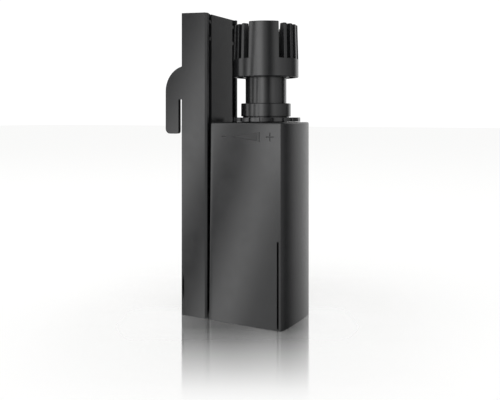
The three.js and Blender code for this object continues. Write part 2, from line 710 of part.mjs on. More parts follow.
addPiece("holder_channel", holderChannel(), "black_plastic");
addPiece("suction_cup_right", suctionCup(-1), "black_rubber");
addPiece("suction_cup_left", suctionCup(1), "black_rubber");

addPiece("guide_rail", guideRail(), "black_plastic");
addPiece("housing_shell", housingShell(), "black_plastic");
SCREW.zs.forEach((z, i) => addPiece(`rail_screw_${i + 1}`, railScrew(z), "steel"));
addPiece("port_plate", portPlate(), "grey_plastic");
addPiece("filter_sponge", filterSponge(), "sponge_foam");
addPiece("sponge_grid", spongeGrid(), "black_plastic");
addPiece("cable_gland", cableGland(), "black_rubber");
addPiece("gland_nut", glandNut(), "grey_plastic");

addPiece("regulator_ring", regulatorRing(), "black_plastic");
addPiece("throttle_sleeve", throttleSleeve(), "black_plastic");
addPiece("tube_seal", tubeSeal(), "black_rubber");

addPiece("neck_tube", neckTube(), "black_plastic");
addPiece("skimmer_comb", skimmerComb(), "black_plastic");
addPiece("head_floor", headFloor(), "black_plastic");

addPiece("bottom_cover", bottomCover(), "black_plastic");
addPiece("motor_casing", motorCasing(), "black_plastic");
addPiece("motor_base_cap", motorBaseCap(), "grey_plastic");
addPiece("stator_core", statorCore(), "steel");
addPiece("coil_bobbin", coilBobbin(), "grey_plastic");
addPiece("coil_winding", coilWinding(), "copper");
const feet = [[12, -13], [12, 13], [41, -13], [41, 13]];
feet.forEach((place, i) => addPiece(`damping_foot_${i + 1}`, dampingFoot(place), "black_rubber"));
addPiece("volute_cover", voluteCover(), "grey_plastic");
addPiece("chamber_seal", chamberSeal(), "black_rubber");
addPiece("outlet_baffle", outletBaffle(), "black_plastic");
addPiece("bush_lower", bushLower(), "ceramic");
addPiece("bush_upper", bushUpper(), "ceramic");
addPiece("rotor_shaft", rotorShaft(), "ceramic");

addPiece("rotor_magnet", rotorMagnet(), "ferrite");
addPiece("impeller", impeller(), "grey_plastic");

export default filter;
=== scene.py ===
# Internal power filter with a surface skimmer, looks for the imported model. Metres, +Z up.
import json
import math

import bpy
import bmesh
from mathutils import Matrix, Vector, noise

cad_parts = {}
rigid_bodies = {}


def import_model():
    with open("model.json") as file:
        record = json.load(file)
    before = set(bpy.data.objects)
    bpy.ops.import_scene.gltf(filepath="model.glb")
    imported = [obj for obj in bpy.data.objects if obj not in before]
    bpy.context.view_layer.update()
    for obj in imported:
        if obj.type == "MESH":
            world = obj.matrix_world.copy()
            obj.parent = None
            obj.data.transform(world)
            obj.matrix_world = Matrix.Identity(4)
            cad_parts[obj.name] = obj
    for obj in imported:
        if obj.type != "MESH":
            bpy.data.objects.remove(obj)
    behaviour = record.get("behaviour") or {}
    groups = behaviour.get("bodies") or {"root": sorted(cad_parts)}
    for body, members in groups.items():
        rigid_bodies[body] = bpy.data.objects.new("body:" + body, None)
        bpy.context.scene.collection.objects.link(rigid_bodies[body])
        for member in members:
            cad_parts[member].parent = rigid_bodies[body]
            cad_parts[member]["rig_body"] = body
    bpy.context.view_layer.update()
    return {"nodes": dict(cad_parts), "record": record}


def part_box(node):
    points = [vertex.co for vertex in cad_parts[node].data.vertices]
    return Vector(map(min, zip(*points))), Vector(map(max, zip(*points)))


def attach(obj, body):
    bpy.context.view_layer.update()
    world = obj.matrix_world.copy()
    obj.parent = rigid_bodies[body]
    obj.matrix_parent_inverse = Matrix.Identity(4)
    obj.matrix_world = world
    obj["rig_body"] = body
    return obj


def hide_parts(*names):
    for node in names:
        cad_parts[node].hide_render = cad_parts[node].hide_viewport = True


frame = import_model()

MM = 0.001
TAU = 2 * math.pi


def box_mm(node):
    """Lowest and highest corner of a CAD node, in millimetres of the part's frame."""
    low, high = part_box(node)
    return low / MM, high / MM


# ---- mesh helpers: everything is built in millimetres, then scaled -------
def rounded(points, radius=0.3, steps=4, closed=True):
    """A polyline with each corner rounded. A point may carry its own radius as a third number."""
    out = []
    count = len(points)
    for i, point in enumerate(points):
        r = point[2] if len(point) > 2 else radius
        here = Vector(point[:2])
        if r <= 0 or (not closed and i in (0, count - 1)):
            out.append(here)
            continue
        a = Vector(points[i - 1][:2]) - here
        b = Vector(points[(i + 1) % count][:2]) - here
        length = min(a.length, b.length)
        a.normalize()
        b.normalize()
        angle = a.angle(b)
        if angle > math.pi - 0.02:
            out.append(here)
            continue
        t = min(r / math.tan(angle / 2), 0.49 * length)
        real = t * math.tan(angle / 2)
        centre = here + (a + b).normalized() * (real / math.sin(angle / 2))
        start, end = here + a * t - centre, here + b * t - centre
        for k in range(steps + 1):
            out.append(centre + start.lerp(end, k / steps).normalized() * real)
    return out


def swept(sections, closed_section=True, closed_sweep=True):
    """A skin through sections with equal numbers of 3D points; open sweeps get end caps."""
    bm = bmesh.new()
    rows = [[bm.verts.new(p) for p in section] for section in sections]
    count = len(rows[0])
    for i in range(len(rows) if closed_sweep else len(rows) - 1):
        a, b = rows[i], rows[(i + 1) % len(rows)]
        for j in range(count if closed_section else count - 1):
            k = (j + 1) % count
            bm.faces.new((a[j], a[k], b[k], b[j]))
    if not closed_sweep and closed_section:
        bm.faces.new(rows[0])
        bm.faces.new(rows[-1][::-1])
    return bm


def tidy(bm, distance=1e-4):
    """Welds points that coincide and turns every face outwards."""
    bmesh.ops.remove_doubles(bm, verts=bm.verts, dist=distance)
    bmesh.ops.dissolve_degenerate(bm, edges=bm.edges, dist=distance)
    bmesh.ops.recalc_face_normals(bm, faces=bm.faces)
    return bm


def full_turn(steps):
    return [TAU * i / steps for i in range(steps)]


def around(profile, centre, segments=128, angles=None, closed=True):
    """A profile of (radius, height) pairs turned about a vertical line. It may depend on the angle."""
    sections = []
    for a in angles or full_turn(segments):
        points = profile(a) if callable(profile) else profile
        sections.append([(centre[0] + r * math.cos(a), centre[1] + r * math.sin(a), z) for r, z in points])
    return tidy(swept(sections, closed_section=closed))


def lathe(profile, centre, segments=96):
    """A profile that starts and ends on the axis, turned about a vertical line."""
    return around(profile, centre, segments, closed=False)


def prism(points, low, high, plane="XY"):
    """An outline drawn out between two heights of the axis that its plane leaves out."""
    put = {"XY": lambda u, v, w: (u, v, w), "XZ": lambda u, v, w: (u, w, v)}[plane]
    sections = [[put(p[0], p[1], w) for p in points] for w in (low, high)]
    return tidy(swept(sections, closed_sweep=False))


def rectangle(x, y):
    return [(x[0], y[0]), (x[1], y[0]), (x[1], y[1]), (x[0], y[1])]


def block(x, y, z):
    return prism(rectangle(x, y), *z)


def bevel(bm, width, segments=2, degrees=35):
    """Rounds the sharp edges of a mesh."""
    bm.normal_update()
    sharp = math.radians(degrees)
    edges = [e for e in bm.edges if len(e.link_faces) == 2 and e.calc_face_angle(0) > sharp]
    bmesh.ops.bevel(bm, geom=edges, offset=width, segments=segments, profile=0.5, affect="EDGES",
                    clamp_overlap=True)
    return bm


def moved(bm, matrix):
    bm.transform(matrix)
    return bm


def joined(*parts):
    """Several meshes as one."""
    whole = bmesh.new()
    for part in parts:
        mesh = bpy.data.meshes.new("part")
        part.to_mesh(mesh)
        part.free()
        whole.from_mesh(mesh)
        bpy.data.meshes.remove(mesh)
    return whole


def new_object(name, bm):
    mesh = bpy.data.meshes.new(name)
    bm.to_mesh(mesh)
    bm.free()
    obj = bpy.data.objects.new(name, mesh)
    bpy.context.scene.collection.objects.link(obj)
    return obj


def apply_modifiers(obj):
    graph = bpy.context.evaluated_depsgraph_get()
    mesh = bpy.data.meshes.new_from_object(obj.evaluated_get(graph))
    obj.modifiers.clear()
    obj.data = mesh


def cut(obj, tool_bm):
    """Takes one mesh away from a piece."""
    tool = new_object("tool", tool_bm)
    modifier = obj.modifiers.new("cut", "BOOLEAN")
    modifier.object = tool
    modifier.operation = "DIFFERENCE"
    modifier.solver = "EXACT"
    apply_modifiers(obj)
    bpy.data.objects.remove(tool)


def dressed(obj, body, nodes, look, degrees=30):
    """Smooths, scales and finishes a piece built in millimetres, and puts it in place of its CAD nodes."""
    mesh = obj.data
    mesh.polygons.foreach_set("use_smooth", [True] * len(mesh.polygons))
    mesh.set_sharp_from_angle(angle=math.radians(degrees))
    weighted = obj.modifiers.new("normals", "WEIGHTED_NORMAL")
    weighted.keep_sharp = True
    weighted.weight = 50
    apply_modifiers(obj)
    obj.data.transform(Matrix.Scale(MM, 4))
    obj.data.materials.clear()
    obj.data.materials.append(MATERIALS[look])
    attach(obj, body)
    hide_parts(*nodes)
    return obj


def piece(name, bm, body, nodes, look, degrees=30):
    return dressed(new_object(name, bm), body, nodes, look, degrees)


def node_copy(node):
    """A CAD node's shape in millimetres, with its flat faces whole again."""
    bm = bmesh.new()
    bm.from_mesh(frame["nodes"][node].data)
    bm.transform(Matrix.Scale(1 / MM, 4))
    tidy(bm, 1e-3)
    bmesh.ops.dissolve_limit(bm, angle_limit=math.radians(0.3), verts=bm.verts, edges=bm.edges)
    return bm


def moulded(node, width):
    """The CAD node with rounded edges, as a moulded or machined part has."""
    body = frame["nodes"][node]["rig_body"]
    slots = {s["node"]: s["material_slot"] for s in frame["record"]["subparts"]}
    obj = new_object(node + ".moulded", node_copy(node))
    modifier = obj.modifiers.new("edges", "BEVEL")
    modifier.width = width
    modifier.segments = 2
    modifier.limit_method = "ANGLE"
    modifier.angle_limit = math.radians(40)
    modifier.use_clamp_overlap = True
    apply_modifiers(obj)
    return dressed(obj, body, [node], slots[node])


# ---- materials ----------------------------------------------------------
def new_material(name):
    material = bpy.data.materials.new(name)
    material.use_nodes = True
    nodes = material.node_tree.nodes
    shader = nodes["Principled BSDF"]
    return material, nodes, material.node_tree.links, shader


def object_place(nodes):
    return nodes.new("ShaderNodeTexCoord").outputs["Object"]


def operation_node(nodes, links, kind, operation, *values):
    """A maths node whose inputs are numbers, vectors or other nodes' outputs."""
    node = nodes.new(kind)
    node.operation = operation
    for socket, value in zip(node.inputs, values):
        if isinstance(value, bpy.types.NodeSocket):
            links.new(value, socket)
        else:
            socket.default_value = value
    return node


def math_node(nodes, links, operation, *values):
    return operation_node(nodes, links, "ShaderNodeMath", operation, *values).outputs[0]


def vector_value(nodes, links, operation, *values):
    return operation_node(nodes, links, "ShaderNodeVectorMath", operation, *values).outputs["Value"]


def bumped(nodes, links, shader, source, strength, distance):
    bump = nodes.new("ShaderNodeBump")
    bump.inputs["Strength"].default_value = strength
    bump.inputs["Distance"].default_value = distance
    links.new(source, bump.inputs["Height"])
    links.new(bump.outputs["Normal"], shader.inputs["Normal"])


def noise_level(nodes, links, scale, detail=3.0, roughness=0.5):
    texture = nodes.new("ShaderNodeTexNoise")
    texture.inputs["Scale"].default_value = scale
    texture.inputs["Detail"].default_value = detail
    texture.inputs["Roughness"].default_value = roughness
    links.new(object_place(nodes), texture.inputs["Vector"])
    return texture.outputs["Fac"]


def ranged(nodes, links, source, low, high, from_low=0.3, from_high=0.7):
    node = nodes.new("ShaderNodeMapRange")
    node.inputs["From Min"].default_value = from_low
    node.inputs["From Max"].default_value = from_high
    node.inputs["To Min"].default_value = low
    node.inputs["To Max"].default_value = high
    links.new(source, node.inputs["Value"])
    return node.outputs["Result"]


def ramp(nodes, links, source, stops):
    node = nodes.new("ShaderNodeValToRGB")
    elements = node.color_ramp.elements
    while len(elements) < len(stops):
        elements.new(0.5)
    for element, (position, colour) in zip(elements, stops):
        element.position = position
        element.color = (*colour, 1)
    links.new(source, node.inputs["Fac"])
    return node.outputs["Color"]


def shade(colour, factor):
    return tuple(c * factor for c in colour)


def moulded_material(name, colour, gloss, grain=2600, relief=0.05, metal=0.0, variation=0.12):
    """Fine moulded or machined grain, with slow changes of colour and gloss over the surface."""
    material, nodes, links, shader = new_material(name)
    shader.inputs["Metallic"].default_value = metal
    slow = noise_level(nodes, links, 45, 4)
    stops = [(0.35, shade(colour, 1 - variation)), (0.65, shade(colour, 1 + variation))]
    links.new(ramp(nodes, links, slow, stops), shader.inputs["Base Color"])
    wear = noise_level(nodes, links, 160, 6, 0.6)
    links.new(ranged(nodes, links, wear, gloss - 0.025, gloss + 0.025), shader.inputs["Roughness"])
    bumped(nodes, links, shader, noise_level(nodes, links, grain, 2), relief, 0.00006)
    return material


def layered_material(name, colour, gloss, pitch):
    """The edge of a stack of sheet metal."""
    material, nodes, links, shader = new_material(name)
    shader.inputs["Metallic"].default_value = 1.0
    wave = nodes.new("ShaderNodeTexWave")
    wave.bands_direction = "Z"
    wave.inputs["Scale"].default_value = 1 / pitch / 3.2
    wave.inputs["Distortion"].default_value = 0.2
    links.new(object_place(nodes), wave.inputs["Vector"])
    stops = [(0.2, shade(colour, 0.45)), (0.6, colour)]
    links.new(ramp(nodes, links, wave.outputs["Fac"], stops), shader.inputs["Base Color"])
    grime = noise_level(nodes, links, 300, 5)
    links.new(ranged(nodes, links, grime, gloss - 0.08, gloss + 0.08), shader.inputs["Roughness"])
    bumped(nodes, links, shader, wave.outputs["Fac"], 0.5, 0.0001)
    return material


def foam_material(name, colour):
    """Open-cell foam: cells painted dark as the shade in its pores, between lighter struts."""
    material, nodes, links, shader = new_material(name)
    cells = nodes.new("ShaderNodeTexVoronoi")
    cells.inputs["Scale"].default_value = 900
    links.new(object_place(nodes), cells.inputs["Vector"])
    # Painted shade: dark in the pores, lighter on the struts.
    stops = [(0.1, shade(colour, 0.15)), (0.5, colour), (0.8, shade(colour, 1.8))]
    links.new(ramp(nodes, links, cells.outputs["Distance"], stops), shader.inputs["Base Color"])
    dust = noise_level(nodes, links, 250, 4)
    links.new(ranged(nodes, links, dust, 0.85, 1.0), shader.inputs["Roughness"])
    bumped(nodes, links, shader, cells.outputs["Distance"], 0.9, 0.0006)
    return material


MATERIALS = {
    "black_plastic": moulded_material("black_plastic", (0.0105, 0.0108, 0.0115), 0.21),
    "grey_plastic": moulded_material("grey_plastic", (0.13, 0.135, 0.14), 0.42),
    "black_rubber": moulded_material("black_rubber", (0.016, 0.016, 0.017), 0.62, 1800, 0.2, variation=0.2),
    "sponge_foam": foam_material("sponge_foam", (0.05, 0.058, 0.07)),
    "steel": moulded_material("steel", (0.5, 0.5, 0.51), 0.32, 3000, 0.1, metal=1.0),
    "copper": moulded_material("copper", (0.62, 0.24, 0.1), 0.3, 1500, 0.2, metal=1.0, variation=0.2),
    "ferrite": moulded_material("ferrite", (0.045, 0.045, 0.05), 0.55, 2200, 0.25, variation=0.25),
    "ceramic": moulded_material("ceramic", (0.78, 0.76, 0.7), 0.25, 2200, 0.05, variation=0.05),
}
SHEET_STEEL = layered_material("sheet_steel", (0.42, 0.42, 0.43), 0.38, 0.0005)
# Rougher and slightly darker black: the floors of the scale marks take it, and the comb's downward faces take
# it as painted shade.
MARK_MATT_AND_UNDERSIDE_SHADE = moulded_material("mark_floor_and_underside_shade", (0.009, 0.0092, 0.0098), 0.5, 3000, 0.3)


# ---- places, taken from the imported nodes and a few given numbers --------
def middle(node):
    low, high = box_mm(node)
    return (low + high) / 2


NECK = tuple(middle("neck_tube").xy)
MOTOR = tuple(middle("rotor_shaft").xy)
ORIGIN_X = box_mm("housing_shell")[1].x - 57.2
TUBE_TURN = math.radians(-8.4)


def drill(radius, low, high):
    """The outline of a drill, to turn about its axis."""
    return [(0, low), (radius, low), (radius, high), (0, high)]


def along_x(profile, centre, segments=48):
    """A profile of (radius, x) pairs that starts and ends on the axis, turned about a line along X."""
    sections = []
    for a in full_turn(segments):
        sections.append([(x, centre[0] + r * math.cos(a), centre[1] + r * math.sin(a)) for r, x in profile])
    return tidy(swept(sections, closed_section=False))


# ---- housing ------------------------------------------------------------
SIDE_CROWN = 0.25
NOSE_DEPTH = 2.2
REAR_ROUND = 0.8
WALL = 2.4
SOCKET_RADIUS = 16.3
SLIT = {"x": 53.15, "width": 1.3, "top": 54.8, "depth": 17}
SCALE_HEIGHT = 119.3


def housing_plan(rear, front, half):
    """Softly crowned sides that end in a crease, and a rounded nose."""
    crease, side = front - NOSE_DEPTH, half - SIDE_CROWN
    start = rear + REAR_ROUND
    chord = crease - start
    radius = chord * chord / (8 * SIDE_CROWN) + SIDE_CROWN / 2
    sweep = math.asin(chord / 2 / radius)
    outline = [(rear, -side + REAR_ROUND), (rear + 0.11, -side + 0.4), (rear + 0.4, -side + 0.11)]
    for i in range(25):
        a = -sweep + 2 * sweep * i / 24
        outline.append(((start + crease) / 2 + radius * math.sin(a), radius - half - radius * math.cos(a)))
    turn = math.radians(52.5)
    controls = [
        Vector((crease, -side)), Vector((crease + 1.8 * math.cos(turn), -side + 1.8 * math.sin(turn))),
        Vector((front, -14)), Vector((front, 0)),
    ]
    for i in range(1, 17):
        t = i / 16
        weights = ((1 - t) ** 3, 3 * t * (1 - t) ** 2, 3 * t * t * (1 - t), t ** 3)
        point = sum((w * c for w, c in zip(weights, controls)), Vector((0, 0)))
        outline.append((point.x, point.y))
    return outline[:-1] + [(x, -y) for x, y in reversed(outline)]


def clipped(outline, distance):
    """A convex outline moved inwards."""
    kept = [Vector(p) for p in outline]
    for i, corner in enumerate(outline):
        a, b = Vector(corner), Vector(outline[(i + 1) % len(outline)])
        along = (b - a).normalized()
        inward = Vector((-along.y, along.x))
        depth = [(p - a).dot(inward) - distance for p in kept]
        result = []
        for j, p in enumerate(kept):
            k = (j + 1) % len(kept)
            if depth[j] >= 0:
                result.append(p)
            if depth[j] * depth[k] < 0:
                result.append(p.lerp(kept[k], depth[j] / (depth[j] - depth[k])))
        kept = result
    return kept


def matched(outline, distance):
    """The outline moved inwards, with one point for each point it had."""
    if distance <= 0:
        return [Vector(p) for p in outline]
    inner = clipped(outline, distance)
    points = []
    for i, corner in enumerate(outline):
        here = Vector(corner)
        before = (here - Vector(outline[i - 1])).normalized()
        after = (Vector(outline[(i + 1) % len(outline)]) - here).normalized()
        along = before + after
        outward = Vector((along.y, -along.x))
        points.append(max(inner, key=lambda p: p.dot(outward)))
    return points


def scale_marks(z):
    """Minus, wedge, bar and plus of the flow scale, in X and Z."""
    x0 = ORIGIN_X

    def bar(x, width, tall):
        return rectangle((x0 + x - width / 2, x0 + x + width / 2), (z - tall / 2, z + tall / 2))

    wedge = [(x0 + 20.3, z), (x0 + 39.3, z - 2.7), (x0 + 39.3, z + 2.7)]
    return [bar(15, 3.2, 0.7), wedge, bar(40.5, 0.7, 6.2), bar(47.85, 5.5, 0.7), bar(47.85, 0.7, 5.4)]


def housing_skin(rear, front, half, top):
    rows = [(0, 0.3), (0.09, 0.09), (0.3, 0)] + [(top * k / 4, 0) for k in (1, 2, 3)]
    for step in range(7):
        a = step / 6 * math.pi / 2
        rows.append((top - 1.2 * (1 - math.sin(a)), 1.2 * (1 - math.cos(a))))
    sections = []
    for z, inset in rows:
        plan = housing_plan(rear + 1.2 * z / top, front, half)
        sections.append([(p.x, p.y, z) for p in matched(plan, inset)])
    return tidy(swept(sections, closed_sweep=False), 1e-3)


def housing_shell():
    low, high = box_mm("housing_shell")
    rear, front, half, top = low.x, high.x, high.y, high.z
    obj = new_object("housing", housing_skin(rear, front, half, top))
    cut(obj, prism(clipped(housing_plan(rear, front, half), WALL), -1, top - WALL))
    cut(obj, lathe(drill(SOCKET_RADIUS, top - 4, top + 1), NECK))
    cut(obj, lathe(drill(3.2, top - 4, top + 1), middle("cable_gland").xy, 40))
    slit = ORIGIN_X + SLIT["x"]
    for y in ((-half - 1, -SLIT["depth"]), (SLIT["depth"], half + 1)):
        cut(obj, block((slit - SLIT["width"] / 2, slit + SLIT["width"] / 2), y, (-1, SLIT["top"])))
    for node in ("rail_screw_1", "rail_screw_2"):
        cut(obj, along_x(drill(1.6, rear - 1, rear + 5), middle(node).yz, 24))
    centre = (rear + REAR_ROUND + front - NOSE_DEPTH) / 2

    def face(x):
        return -half + SIDE_CROWN * ((x - centre) / (front - rear - 3) * 2) ** 2

    for mark in scale_marks(SCALE_HEIGHT):
        x = sum(p[0] for p in mark) / len(mark)
        cut(obj, prism(rounded(mark, 0.12, 2), -half - 1, face(x) + 0.25, "XZ"))
    dressed(obj, "pump_unit", ["housing_shell"], "black_plastic", 24)
    obj.data.materials.append(MARK_MATT_AND_UNDERSIDE_SHADE)
    for floor in obj.data.polygons:
        x, y, z = floor.center / MM
        if abs(z - SCALE_HEIGHT) < 3.4 and abs(x - ORIGIN_X - 32) < 19 and 0.1 < y - face(x) < 0.6:
            floor.material_index = 1
    seat = box_mm("port_plate")[0].z - 0.3
    under, outside = top - 2.3, SOCKET_RADIUS + 2
    ledge = [(13, seat - 1.5), (outside, seat - 1.5), (outside, under), (SOCKET_RADIUS, under),
             (SOCKET_RADIUS, seat), (13, seat)]
    rests = [bevel(block((-1.1, 26.9), sorted((s * 18.4, s * 20.6)), (57.4, 59.0)), 0.2) for s in (-1, 1)]
    inside = joined(around(rounded(ledge, 0.2, 2), NECK), *rests)
    piece("housing_socket", inside, "pump_unit", [], "black_plastic")


# ---- flow regulator -----------------------------------------------------
RING_RADIUS, NOTCH_DEPTH, NOTCHES = 22.5, 1.1, 20
COLLAR_BORE, COLLAR_RADIUS = 13.75, 16.35
RIM_STOPS = (0, 1.2, 1.6, 2.0, 2.4, 3.4, 6, 9, 12, 14.6, 15.6, 16, 16.4, 16.8)


def regulator_ring():
    low, high = box_mm("regulator_ring")
    rim_top = low.z + 2.7
    spacing = 360 // NOTCHES

    def rim(a):
        off = math.degrees(a) % spacing
        share = min(max((min(off, spacing - off) - 1.2) / 1.2, 0), 1)
        r = RING_RADIUS - NOTCH_DEPTH * (1 - share * share * (3 - 2 * share))
        return rounded(rectangle((COLLAR_BORE, r), (low.z, rim_top)), 0.2, 3)

    angles = [math.radians(spacing * k + s) for k in range(NOTCHES) for s in RIM_STOPS]
    collar = rounded(
        [(COLLAR_BORE, low.z + 0.5, 0), (15.2, low.z + 0.5, 0), (15.2, rim_top + 0.6, 0.1),
         (COLLAR_RADIUS, rim_top + 0.7, 0.3), (COLLAR_RADIUS, high.z, 0.6), (COLLAR_BORE, high.z, 0.25)],
        0.3, 5)
    keys = []
    for turn in (0, math.pi):
        key = bevel(block((12.95, 14.2), (-1.3, 1.3), (low.z + 0.9, high.z - 0.3)), 0.15)
        place = Matrix.Translation((*NECK, 0)) @ Matrix.Rotation(TUBE_TURN + turn, 4, "Z")
        keys.append(moved(key, place))
    ring = joined(around(rim, NECK, angles=angles), around(collar, NECK), *keys)
    piece("regulator_ring_smooth", ring, "regulator", ["regulator_ring"], "black_plastic", 40)


def seal(name, node, body, section):
    low, high = box_mm(node)
    at = middle(node)
    radius = (high.x - low.x) / 2 - section
    profile = [(radius + section * math.cos(a), at.z + section * math.sin(a)) for a in full_turn(16)]
    piece(name, around(profile, at.xy, 96), body, [node], "black_rubber", 60)


# ---- skimmer head -------------------------------------------------------
TUBE_BORE, TUBE_RADIUS, GROOVE_RADIUS = 11.65, 13.45, 12.65


def angle_between(a, b):
    return abs((a - b + math.pi) % TAU - math.pi)


def neck_tube():
    low, high = box_mm("neck_tube")
    foot, end = low.z + 7.6, box_mm("skimmer_comb")[0].z + 1.8
    reach = math.asin(1.7 / TUBE_RADIUS)
    centres = (TUBE_TURN, TUBE_TURN + math.pi)
    chamfer = 0.3
    inner, outer = TUBE_BORE + chamfer, TUBE_RADIUS - chamfer

    def wall(a):
        r = GROOVE_RADIUS if min(angle_between(a, c) for c in centres) < reach else TUBE_RADIUS
        return [
            (TUBE_BORE, low.z + chamfer), (inner, low.z), (outer, low.z), (TUBE_RADIUS, low.z + chamfer),
            (TUBE_RADIUS, foot), (r, foot + 0.02), (r, end - 0.02), (TUBE_RADIUS, end),
            (TUBE_RADIUS, high.z - chamfer), (outer, high.z), (inner, high.z), (TUBE_BORE, high.z - chamfer),
        ]

    angles = {round(a, 6) for a in full_turn(120)}
    for c in centres:
        angles = {a for a in angles if abs(angle_between(a, c) - reach) > 0.02}
        angles |= {(c + s * (reach + d)) % TAU for s in (-1, 1) for d in (-0.006, 0.006)}
    tube = around(wall, NECK, angles=sorted(angles))
    piece("neck_tube_smooth", tube, "skimmer_head", ["neck_tube"], "black_plastic", 40)


BAND_RADIUS, COMB_TOP_RADIUS, BAND_HEIGHT = 21.36, 20.7, 11.7
PANEL = (math.radians(-95.4), math.radians(-40.6))
FINS, FIN_PITCH, FIN_WIDTH = 19, math.radians(15.49), 2.35
FIRST_FIN = math.radians(-27.5)


def comb_fin(slots, top):
    """One fin in its own plane: radius along X, wider and deeper towards the foot."""
    end = top - 0.8
    outline = rounded([(13.6, slots - 0.4, 0), (BAND_RADIUS - 0.04, slots - 0.4, 0),
                       (COMB_TOP_RADIUS, end, 0.4), (16.7, end, 0.6), (15.6, 180, 4)], 0.4, 4)
    fin = prism(outline, -FIN_WIDTH / 2, FIN_WIDTH / 2, "XZ")
    return bevel(fin, 0.28, 3, 60)


def skimmer_comb():
    low, high = box_mm("skimmer_comb")
    bottom, slots, top = low.z, low.z + BAND_HEIGHT, high.z
    under = slots - 2
    band = rounded(
        [(13.75, bottom, 0.25), (15.35, bottom, 0.25), (15.35, under, 0.4), (19.5, under, 0.4),
         (19.5, bottom, 0.25), (BAND_RADIUS, bottom, 0.4), (BAND_RADIUS, slots, 0.3), (10.6, slots, 0.4),
         (10.6, under, 0.3), (13.75, under, 0.2)], 0.3, 3)
    parts = [around(band, NECK, 144)]
    place = Matrix.Translation((*NECK, 0))
    for i in range(FINS):
        turn = Matrix.Rotation(FIRST_FIN + i * FIN_PITCH, 4, "Z")
        parts.append(moved(comb_fin(slots, top), place @ turn))
    shell = rounded([(19.36, slots - 0.6, 0), (21.3, slots - 0.6, 0), (BAND_RADIUS, slots + 0.1, 0),
                     (COMB_TOP_RADIUS, top, 0.45), (18.8, top, 0.45)], 0.3, 4)
    sections = []
    for i in range(41):
        a = PANEL[0] + (PANEL[1] - PANEL[0]) * i / 40
        sections.append([(r * math.cos(a), r * math.sin(a), z) for r, z in shell])
    parts.append(moved(bevel(tidy(swept(sections, closed_sweep=False)), 0.3, 3, 70), place))
    obj = piece("skimmer_comb_smooth", joined(*parts), "skimmer_head", ["skimmer_comb"], "black_plastic", 40)
    # Painted shade: the comb's downward faces take the darker, rougher black.
    obj.data.materials.append(MARK_MATT_AND_UNDERSIDE_SHADE)
    for face in obj.data.polygons:
        if face.normal.z < -0.9 and face.center.z / MM < bottom + 1:
            face.material_index = 1


def head_floor():
    low, high = box_mm("head_floor")
    ring = rounded(rectangle((15.7, 19.2), (low.z, high.z)), 0.3, 3)
    piece("head_floor_smooth", around(ring, NECK), "skimmer_head", ["head_floor"], "black_plastic")


# ---- holder's cups and the rail's screws --------------------------------
def suction_cup(node):
    low, high = box_mm(node)
    rim, front = low.x, high.x
    knob = front - 1.0
    outer = [
        (8.6, rim), (8.55, rim + 0.35), (8.0, rim + 0.75), (6.6, rim + 1.7), (5.2, rim + 2.7),
        (4.0, rim + 3.4), (2.8, rim + 3.9), (2.4, rim + 4.4), (2.4, knob - 0.1), (2.7, knob),
        (3.5, knob + 0.05), (3.7, knob + 0.3), (3.6, front - 0.25), (3.3, front), (1.2, front),
        (0, front - 0.15),
    ]
    inner = [(0, rim + 1.6), (2.5, rim + 1.55), (4.5, rim + 1.3), (6.4, rim + 0.75), (7.8, rim + 0.2),
             (8.3, rim)]
    cup = along_x(inner + outer, middle(node).yz, 64)
    piece(node + "_soft", cup, "holder", [node], "black_rubber", 50)


THREAD_PITCH = 0.8


def rail_screw(node):
    low, high = box_mm(node)
    at = middle(node).yz
    seat = high.x - 1.1
    profile = [(0, low.x), (0.7, low.x), (1.1, low.x + 0.6)]
    x = low.x + 0.6
    while x < seat - 2.2:
        profile += [(1.05, x + 0.2), (1.3, x + 0.45), (1.3, x + 0.55), (1.05, x + THREAD_PITCH)]
        x += THREAD_PITCH
    profile += [(1.15, seat - 0.6), (1.2, seat), (2.6, seat), (2.7, seat + 0.15), (2.65, seat + 0.5),
                (2.3, high.x - 0.12), (1.8, high.x), (0, high.x)]
    obj = new_object(node + "_detailed", along_x(profile, at, 40))
    for wide, tall in ((0.3, 1.7), (1.7, 0.3)):
        cut(obj, block((high.x - 0.75, high.x + 1), (at[0] - wide, at[0] + wide), (at[1] - tall, at[1] + tall)))
    dressed(obj, "pump_unit", [node], "steel")


# ---- cable gland and its nut --------------------------------------------
def cable_gland():
    low, high = box_mm("cable_gland")
    seat = high.z - 2.3
    outer = [
        (2.4, low.z, 0.1), (2.9, low.z + 0.2, 0.1), (2.9, low.z + 1.2, 0.1), (2.6, low.z + 1.4, 0.1),
        (2.6, low.z + 1.9, 0.1), (2.9, low.z + 2.1, 0.1), (2.9, seat, 0), (3.8, seat, 0.15),
        (3.8, seat + 0.8, 0.3), (3.4, seat + 1.1, 0.2), (3.1, high.z - 0.2, 0.15), (2.9, high.z, 0.12),
        (2.4, high.z, 0.1),
    ]
    gland = around(rounded(outer, 0.15, 3), middle("cable_gland").xy, 64)
    piece("cable_gland_ribbed", gland, "pump_unit", ["cable_gland"], "black_rubber", 50)
    low, high = box_mm("gland_nut")
    at = middle("gland_nut")
    hexagon = [(at.x + 4.3 * math.cos(a), at.y + 4.3 * math.sin(a)) for a in full_turn(6)]
    nut = new_object("gland_nut_chamfered", bevel(prism(hexagon, low.z, high.z), 0.25, 2, 40))
    cut(nut, lathe(drill(3.2, low.z - 1, high.z + 1), at.xy, 48))
    dressed(nut, "pump_unit", ["gland_nut"], "grey_plastic")


